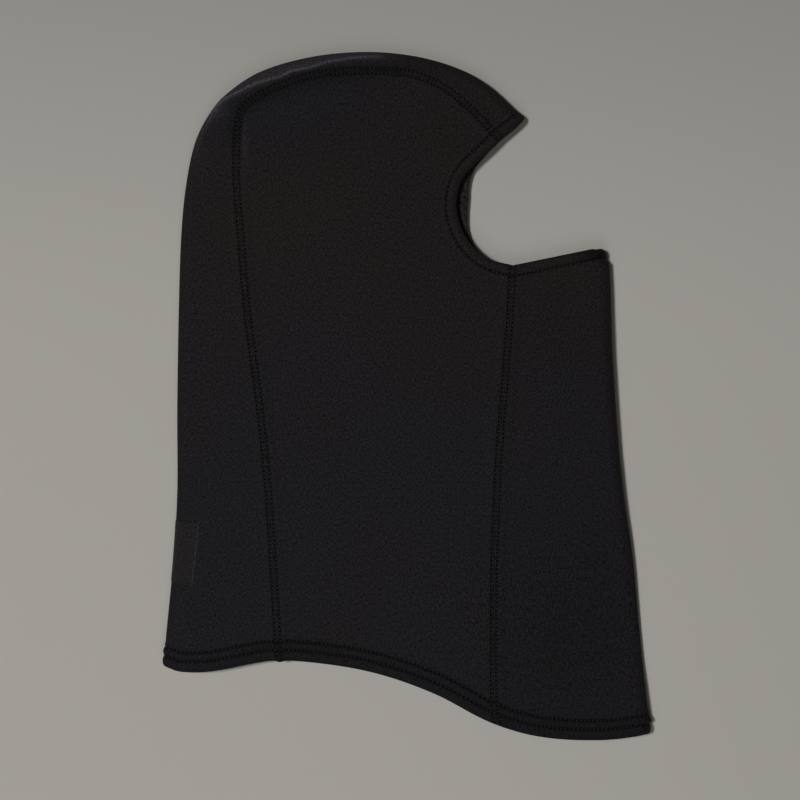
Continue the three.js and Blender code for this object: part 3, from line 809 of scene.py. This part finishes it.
fleeceFace, fleeceInside = makeFaceMaterial(), makeInsideMaterial()
needleThreadBlack = makeThreadMaterial("needleThreadBlack", (0.0185, 0.0162, 0.0170), 0.25)
looperThreadBlack = makeThreadMaterial("looperThreadBlack", (0.020, 0.0175, 0.0180), 0.25)
browned = makeThreadMaterial("brownedThread", (0.060, 0.028, 0.014), 0.2)
patchCloth = makePatchMaterial()
print("materials made")

# Volume of a closed mesh, a sixth of the sum of the triple products of its triangles' corners; its sign
# says which way the faces point.
def closedVolume(points, quads):
    a, b, c, d = (points[quads[:, k]] for k in range(4))
    return (np.einsum("ij,ij->i", a, np.cross(b, c)) + np.einsum("ij,ij->i", a, np.cross(c, d))).sum() / 6


# Mesh from points and quads, turned outwards, with its cloth map, slots and stored values; it rides the
# root.
def meshFrom(name, points, quads, materials, slots=None, uv=None, attributes=None):
    if closedVolume(points, quads) < 0:
        quads = quads[:, ::-1]
    mesh = bpy.data.meshes.new(name)
    mesh.vertices.add(len(points))
    mesh.vertices.foreach_set("co", points.astype(np.float32).ravel())
    mesh.loops.add(quads.size)
    mesh.loops.foreach_set("vertex_index", quads.astype(np.int32).ravel())
    mesh.polygons.add(len(quads))
    mesh.polygons.foreach_set("loop_start", np.arange(0, quads.size, 4, dtype=np.int32))
    mesh.update(calc_edges=True)
    mesh.polygons.foreach_set("use_smooth", np.ones(len(quads), bool))
    if slots is not None:
        mesh.polygons.foreach_set("material_index", slots.astype(np.int32))
    layer = mesh.uv_layers.new(name="cloth")
    layer.data.foreach_set("uv", uv[quads.ravel()].astype(np.float32).ravel())
    for label, values in (attributes or {}).items():
        store = mesh.attributes.new(label, "FLOAT_VECTOR", "POINT")
        store.data.foreach_set("vector", values.astype(np.float32).ravel())
    for material in materials:
        mesh.materials.append(material)
    mesh.validate()
    piece = bpy.data.objects.new(name, mesh)
    bpy.context.scene.collection.objects.link(piece)
    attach(piece, "root")
    return piece


# Closed skin between two grids of the same shape: both faces, and a wall along each of the four borders.
def gridSkin(rows, columns):
    index = np.arange(rows * columns).reshape(rows, columns)
    face = np.stack([index[:-1, :-1], index[:-1, 1:], index[1:, 1:], index[1:, :-1]], -1).reshape(-1, 4)
    back = face[:, ::-1] + index.size
    walls = []
    for line in (index[0, ::-1], index[-1], index[:, 0], index[::-1, -1]):
        edge, after = line[:-1], line[1:]
        walls.append(np.stack([edge, after, after + index.size, edge + index.size], -1))
    return face, back, np.concatenate(walls)


# Two values for each point as vectors with a zero third part.
def tripled(first, second):
    return np.stack([first, second, np.zeros_like(first)], -1).reshape(-1, 3)


# Where each point lies from the seams and open edges: distance, and how far along them.
def sewingPlaces(grid):
    pre, xy, side = grid["pre"], grid["base"][..., :2], grid["side"]
    centre, front = (lineNearest(xy, seamLines[key]) for key in ("centre", "front"))
    seam = tripled(*(np.where(centre[0] < front[0], back, fore) for back, fore in zip(centre, front)))
    hem = tripled(np.maximum(pre[..., 1] - hemLevel, 0), grid["hemAlong"])
    upper, lower = (lineNearest(xy, faceLines[layer]) for layer in (1, -1))
    face = tripled(*(np.where(side > 0, up, down) for up, down in zip(upper, lower)))
    # painted shade and highlight of the cloth, with how cool its black is
    shade = np.where(side > 0, paintedClothShade(pre, xy, 1), paintedClothShade(pre, xy, -1))
    coolness = 0.25 + 0.7 * (1 - smooth(35, 75, sharesOf(xy)[1])) + 0.6 * crownShare(xy)
    return {"seamPlace": seam, "hemPlace": hem, "facePlace": face, "shade": tripled(shade, coolness)}


# Outer and inner face points: the lying surface less each depth along its normals.
def clothFaces(base, normals, depths):
    return np.concatenate([(base - normals * depth[..., None]).reshape(-1, 3) for depth in depths])


# Cloth between its outer and inner depths along the normals of the lying surface, closed by walls.
def clothPiece(name, grid):
    pre, base, side = grid["pre"], grid["base"], grid["side"]
    normals = gridNormals(base)
    normals = normals * np.sign((normals[..., 2] * side)[:, :6].mean())
    upper, lower = (clothDepths(pre, base[..., :2], layer) for layer in (1, -1))
    outer, inner = (np.where(side > 0, up, down) for up, down in zip(upper, lower))
    points = clothFaces(base, normals, (outer, inner))
    face, back, walls = gridSkin(*side.shape)
    quads = np.concatenate([face, back, walls])
    slots = np.concatenate([np.zeros(len(face)), np.ones(len(back)), np.zeros(len(walls))])
    flat = np.tile(grid["uv"].reshape(-1, 2), (2, 1))
    places = {label: np.tile(values, (2, 1)) for label, values in sewingPlaces(grid).items()}
    piece = meshFrom(name, points, quads, [fleeceFace, fleeceInside], slots, flat, places)
    return piece


for name, node, grid, held, restsOn in (
    ("sidePanelLeft", "side_panel_left", panelGrid(-1), "laid", ["floor"]),
    ("centrePanel", "centre_panel", stripGrid(centreStrip), "folded", ["floor"]),
    ("frontPanel", "front_panel", stripGrid(frontStrip), "folded", ["floor"]),
    ("sidePanelRight", "side_panel_right", panelGrid(1), "laid", ["sidePanelLeft"]),
):
    piece = clothPiece(name, grid)
    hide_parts(node)
    print(name, "made,", len(piece.data.polygons), "faces")

threadWork = {
    "pitch": 2.5 * mm, "length": 2.0 * mm, "halfWidth": 0.34 * mm, "halfHeight": 0.24 * mm,
    "sunk": 0.1 * mm, "endGap": 0.9 * mm, "looperRadius": 0.26 * mm, "looperLift": 0.3 * mm,
    "seamLooperHalf": 1.9 * mm, "bottomLooperHalf": 3.1 * mm, "faceUnderHalf": 0.6 * mm,
}


# Rings of points in a row as rows of an index, and the quads that join each ring to the next.
def ringQuads(rings, sides):
    index = np.arange(rings * sides).reshape(rings, sides)
    after = np.roll(index, -1, 1)
    return index, np.stack([index[:-1], after[:-1], after[1:], index[1:]], -1).reshape(-1, 4)


# One sewn stitch: a lozenge of thread, long along the row, its ends dipping into the cloth.
def stitchShape():
    along = np.array([-1, -0.82, -0.3, 0.3, 0.82, 1])
    thick = np.array([0.25, 0.75, 1, 1, 0.75, 0.25])
    dip = np.array([-1.8, -0.8, 0, 0, -0.8, -1.8])
    angle = np.linspace(0, 2 * math.pi, 6, endpoint=False)
    side = thick[:, None] * np.cos(angle)
    up = thick[:, None] * np.sin(angle) + dip[:, None]
    rings = np.stack([along[:, None] * np.ones(6), side, up], -1).reshape(-1, 3)
    caps = np.array([[0, 1, 2, 3], [0, 3, 4, 5], [33, 32, 31, 30], [35, 34, 33, 30]])
    return rings, np.concatenate([ringQuads(6, 6)[1], caps])


# Frames along a path at chosen places: centre, direction, across and up.
def framesAt(path, normals, lengths, at):
    centre = resampled(path, lengths, at)
    way = unit(resampled(np.gradient(path, axis=0), lengths, at))
    up = resampled(normals, lengths, at)
    up = unit(up - (up * way).sum(1, keepdims=True) * way)
    return centre, way, np.cross(up, way), up


# Stitches of one stretch of a row, one between each two needle holes.
def stitchPoints(path, normals, beat):
    if beat[-1] < beat[0]:
        path, normals, beat = path[::-1], normals[::-1], beat[::-1]
    pitch = threadWork["pitch"]
    first = math.ceil(beat[0] / pitch)
    last = math.floor(beat[-1] / pitch)
    at = (np.arange(first, last) + 0.5) * pitch
    centre, way, across, up = framesAt(path, normals, beat, at)
    shape, quads = stitchShape()
    size = np.array([threadWork["length"] / 2, threadWork["halfWidth"], threadWork["halfHeight"]])
    local = shape * size
    points = (centre[:, None] + local[None, :, :1] * way[:, None] + local[None, :, 1:2] * across[:, None]
              + local[None, :, 2:] * up[:, None]).reshape(-1, 3)
    uv = np.tile(local[:, :2] + (0, threadWork["halfWidth"]), (len(at), 1))
    uv = uv + np.repeat(at, 36)[:, None] * (1, 0)
    return points, (quads[None] + 36 * np.arange(len(at))[:, None, None]).reshape(-1, 4), uv


# One thread piece in its slot, in place of its node where it has one.
def threadPiece(name, node, points, quads, uv, material):
    piece = meshFrom(name, points, quads, [material], uv=uv)
    if node:
        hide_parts(node)


# All stitches of a row in one piece, stretch after stretch.
def stitchRow(name, node, stretches):
    points, quads, uv = zip(*(stitchPoints(*stretch) for stretch in stretches))
    starts = np.cumsum([0] + [len(part) for part in points[:-1]])
    quads = np.concatenate([part + start for part, start in zip(quads, starts)])
    threadPiece(name, node, np.concatenate(points), quads, np.concatenate(uv), needleThreadBlack)


# Round thread swept along a path: rings of a few points, both ends capped.
def threadTube(path, normals, radius):
    sides = 4
    lengths = arcLengths(path)
    centre, way, across, up = framesAt(path, normals, lengths, lengths)
    angle = np.arange(sides) * 2 * math.pi / sides + math.pi / 4
    points = (centre[:, None] + radius * (np.cos(angle)[None, :, None] * across[:, None]
                                          + np.sin(angle)[None, :, None] * up[:, None]))
    index, quads = ringQuads(len(path), sides)
    caps = np.array([[0, 1, 2, 3], index[-1, ::-1]])
    uv = np.stack([lengths[:, None] * np.ones(sides), (radius * angle)[None] * np.ones((len(path), 1))], -1)
    return points.reshape(-1, 3), np.concatenate([quads, caps]), uv.reshape(-1, 2)


# Looper thread: a zigzag between the needle rows, one crossing each way for every stitch.
def looperPiece(name, node, path, normals, halfWidth):
    lengths = arcLengths(path)
    crossings = int(lengths[-1] / threadWork["pitch"])
    at = np.linspace(0, lengths[-1], 8 * crossings + 1)
    centre, way, across, up = framesAt(path, normals, lengths, at)
    swing = 2 / math.pi * np.arcsin(0.985 * np.sin(2 * math.pi * np.arange(len(at)) / 8))
    over = 0.6 * threadWork["looperRadius"] * np.cos(2 * math.pi * np.arange(len(at)) / 8)
    zigzag = centre + halfWidth * swing[:, None] * across + over[:, None] * up
    threadPiece(name, node, *threadTube(zigzag, up, threadWork["looperRadius"]), looperThreadBlack)


# A line on the face of one layer, sunk or raised from the cloth there.
def lineOnLayer(pre, side, lift, inside=False):
    xy = followHem(pre)
    z = layerHeight(xy, side)
    outer, inner = clothDepths(pre, xy, side)
    height = z - side * (inner + lift if inside else outer - lift)
    path = np.concatenate([xy, height[:, None]], 1)
    normals = np.zeros_like(path)
    normals[:, 2] = side * (-1 if inside else 1)
    return path, normals


# Line beside a seam in the straight pattern, between distances from the face opening and from the hem.
def seamPre(strip, fromFace, fromHem, offset):
    first, last = placeFromFace(strip, fromFace), placeFromHem(strip, fromHem)
    return sideways(splineAt(strip["seam"], np.linspace(first, last, 900)), offset)


for seamName, strip in (("centre", centreStrip), ("front", frontStrip)):
    for layerName, side in (("right", 1), ("left", -1)):
        for rowName, offset in (("first", -1), ("second", 1)):
            gap = threadWork["endGap"]
            pre = seamPre(strip, gap, gap, offset * seamWork["rowSpacing"] / 2)
            path, normals = lineOnLayer(pre, side, -threadWork["sunk"])
            beat = lineNearest(path[:, :2], seamLines[seamName])[1]
            stitchRow(f"{seamName}Seam{layerName.title()}Stitches{rowName.title()}",
                      f"{seamName}_seam_{layerName}_needle_thread_{rowName}", [(path, normals, beat)])
        pre = seamPre(strip, hemWork["faceDepth"] + 2 * mm, hemWork["bottomDepth"] + 2 * mm, 0)
        path, normals = lineOnLayer(pre, side, threadWork["looperLift"], inside=True)
        looperPiece(f"{seamName}Seam{layerName.title()}Looper", f"{seamName}_seam_{layerName}_looper_thread",
                    path, normals, threadWork["seamLooperHalf"])
print("seam threads made")


# Section line right across a strip at one place along it, from the upper seam round the fold to the
# lower one, and the distance round the fold at each point.
def stripLine(strip, t, lift, inside=False):
    fold, seam = stripEdges(strip, np.float64(t))
    span = garment["foldReach"] * (math.pi / 2 - 1) + float(np.linalg.norm(fold - seam))
    around = np.linspace(span, -span, 240)
    pair = np.stack([np.full(240, t), np.full(240, t + 0.002)])
    pre, base = stripBase(strip, pair, np.stack([around, around]))
    normals = gridNormals(base)[0]
    normals = normals * np.sign(normals[0, 2])
    upper, lower = (clothDepths(pre[0], base[0, :, :2], layer) for layer in (1, -1))
    depth = np.where(around >= 0, upper[int(inside)], lower[int(inside)])
    path = base[0] - normals * (depth + (lift if inside else -lift))[:, None]
    return path, normals * (-1 if inside else 1), around


# The hem row's line on a side panel, with its x as the distance along it.
def panelHemLine(distance, side, lift, inside=False):
    left, right = centreStrip["seam"][-1], frontStrip["seam"][-1]
    x = np.linspace(left[0], right[0], 400)
    pre = np.stack([x, np.full(400, hemLevel + distance)], 1)
    return *lineOnLayer(pre, side, lift, inside), x


# The face hem's line on a side panel, with the distance along the edge.
def panelFaceLine(distance, side, lift, inside=False):
    line = splineAt(placed(faceEdges[side]), np.linspace(0, 1, 400))
    path, normals = lineOnLayer(sideways(line, distance), side, lift, inside)
    return path, normals, lineNearest(path[:, :2], faceLines[side])[1]


# A stretch run the other way.
def backwards(stretch):
    return tuple(values[::-1] for values in stretch)


bottomHem, faceHem = (panelHemLine, placeFromHem), (panelFaceLine, placeFromFace)


# The four stretches of a hem row in order: upper panel, front strip, lower panel, centre strip.
def hemStretches(hem, distance, lift, inside=False):
    panelLine, placeFrom = hem
    return [panelLine(distance, 1, lift, inside),
            stripLine(frontStrip, float(placeFrom(frontStrip, distance)), lift, inside),
            backwards(panelLine(distance, -1, lift, inside)),
            backwards(stripLine(centreStrip, float(placeFrom(centreStrip, distance)), lift, inside))]


# One run all round an opening, from its four stretches, open by a small gap where it starts.
def wholeRun(stretches):
    return [np.concatenate([stretch[k][1:-1] for stretch in stretches]) for k in (0, 1)]


for rowName, distance in zip(("lower", "upper"), hemWork["bottomRows"]):
    stitchRow(f"bottomHemStitches{rowName.title()}", f"bottom_hem_needle_thread_{rowName}",
              hemStretches(bottomHem, distance, -threadWork["sunk"]))
stitchRow("faceHemStitches", "face_hem_needle_thread",
          hemStretches(faceHem, hemWork["faceRows"][0], -threadWork["sunk"]))
for name, node, hem, rows, half in (
    ("bottomHemLooper", "bottom_hem_looper_thread", bottomHem, hemWork["bottomRows"], "bottomLooperHalf"),
    ("faceHemUnderThread", "face_hem_under_thread", faceHem, hemWork["faceRows"], "faceUnderHalf"),
):
    run = wholeRun(hemStretches(hem, sum(rows) / len(rows), threadWork["looperLift"], inside=True))
    looperPiece(name, node, *run, threadWork[half])
print("hem threads made")

# A short loose thread end lying on the bottom hem of the upper layer.
looseEnd = {"from": (19.2, 12.3), "reach": 2.6 * mm, "radius": 0.24 * mm}
shares = np.linspace(0, 1, 14)
start = placed(looseEnd["from"])
xy = np.stack([start[0] + looseEnd["reach"] * shares, start[1] + 0.5 * mm * np.sin(3 * shares)], 1)
lying = upperHeight(xy) + 0.35 * mm + 0.3 * mm * np.sin(math.pi * shares)
path, normals = np.concatenate([xy, lying[:, None]], 1), np.tile([0, 0, 1.0], (len(shares), 1))
tube = threadTube(path, normals, looseEnd["radius"])
threadPiece("looseThreadEnd", None, *tube, browned)

patchWork = {
    "length": 39.3 * mm, "width": 35.6 * mm, "lean": math.radians(2.6), "rise": 114.3 * mm,
    "lift": 0.1 * mm, "thickness": 0.5 * mm, "sideEdgeHighlight": 2.4, "endEdgeShade": 0.85,
}


# A thin patch bonded round the back fold: its width runs round the fold and its length along it, turned
# a little.
def patchPiece():
    edge = np.array([0, 0.15, 0.35, 0.6, 0.9, 1.3]) * mm
    across, down = (
        np.concatenate([edge - half, np.linspace(1.9 * mm - half, half - 1.9 * mm, 48), half - edge[::-1]])
        for half in (patchWork["width"] / 2, patchWork["length"] / 2))
    row, column = np.meshgrid(down, across, indexing="ij")
    around = column + row * math.sin(patchWork["lean"])
    along = row - column * math.sin(patchWork["lean"])
    height = placed((0, 0))[1] + patchWork["rise"] + along
    t = np.linspace(0.5, 1, 900)
    fold = splineAt(centreStrip["fold"], t)[:, 1]
    base = stripBase(centreStrip, np.interp(-height, -fold, t), around)[1]
    normals = gridNormals(base)
    normals = normals * np.sign(normals[:, -3:, 2].mean())
    edge = np.minimum(patchWork["width"] / 2 - np.abs(column), patchWork["length"] / 2 - np.abs(row))
    soft = patchWork["lift"] + 0.25 * mm * smooth(0, 1.2 * mm, edge)
    points = clothFaces(base, normals, (-soft, patchWork["thickness"] - soft))
    flat = np.stack([column, row], -1).reshape(-1, 2)
    # painted highlight along the patch's two side edges, painted shade along its two ends
    sideEdgeHighlight = bump(np.abs(column), patchWork["width"] / 2 - 0.3 * mm, 0.35 * mm)
    endEdgeShade = bump(np.abs(row), patchWork["length"] / 2 - 0.3 * mm, 0.5 * mm)
    tone = 1 + patchWork["sideEdgeHighlight"] * sideEdgeHighlight - patchWork["endEdgeShade"] * endEdgeShade
    shade = tripled(tone, np.zeros(row.shape))
    piece = meshFrom("blankPatch", points, np.concatenate(gridSkin(*column.shape)), [patchCloth],
                     uv=np.tile(flat, (2, 1)), attributes={"shade": np.tile(shade, (2, 1))})
    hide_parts("blank_patch")


patchPiece()
print("patch made")

view = {"shownWidth": 0.4905, "lens": 85, "aim": (-3.8 * mm, -2.7 * mm)}
studio = {"paper": (0.43, 0.413, 0.382, 1), "paperPaintedShade": (0.305, 0.293, 0.275, 1), "drift": (0.02, 0.42),
          "sky": (1, 0.95, 0.85, 1), "skyStrength": 0.036}

bpy.ops.mesh.primitive_plane_add(size=40)
floor = bpy.context.object
floor.name = "floor"
paper, w, shader = startMaterial("floorPaper", 0.9, 0.0, 0.2)
coordinates = w.node("TexCoord", {}, "Object")
# painted shade: the paper's colour drifts a little darker past the crown's end, standing in for the light
# falling off there
drift = w.spread(w.parts(coordinates)[1], *studio["drift"], 0.0, 1.0)
drift.node.interpolation_type = "SMOOTHSTEP"
w.put(shader, "Base Color", w.mix(drift, studio["paper"], studio["paperPaintedShade"]))
w.put(shader, "Roughness", w.spread(w.noise(coordinates, 90.0, 3.0), 0.3, 0.7, 0.86, 0.94))
floor.data.materials.append(paper)
floor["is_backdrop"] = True

camera = bpy.data.objects.new("camera", bpy.data.cameras.new("camera"))
bpy.context.scene.collection.objects.link(camera)
camera.data.lens = view["lens"]
camera.location = (*view["aim"], view["shownWidth"] * view["lens"] / camera.data.sensor_width)
bpy.context.scene.camera = camera

lamps = {  # place, target, size, power
    "keyLight": ((-1.6, 0.32, 3.8), (0, 0, 0), 0.65, 107.5),
    "fillLight": ((-0.1, -0.6, 0.9), (0, 0, 0), 0.8, 2.3),
}
for name, (place, target, size, power) in lamps.items():
    lamp = bpy.data.objects.new(name, bpy.data.lights.new(name, "AREA"))
    lamp.data.size = size
    lamp.data.energy = power
    lamp.visible_camera = False
    bpy.context.scene.collection.objects.link(lamp)
    way = np.array(target, float) - np.array(place, float)
    lamp.location = place
    tilt = math.acos(-way[2] / np.linalg.norm(way))
    lamp.rotation_euler = (tilt, 0, math.atan2(way[1], way[0]) - math.pi / 2)
world = bpy.data.worlds.new("studio")
world.use_nodes = True
sky = world.node_tree.nodes["Background"].inputs
sky["Color"].default_value = studio["sky"]
sky["Strength"].default_value = studio["skyStrength"]
bpy.context.scene.world = world
bpy.context.scene.view_settings.view_transform = "Standard"
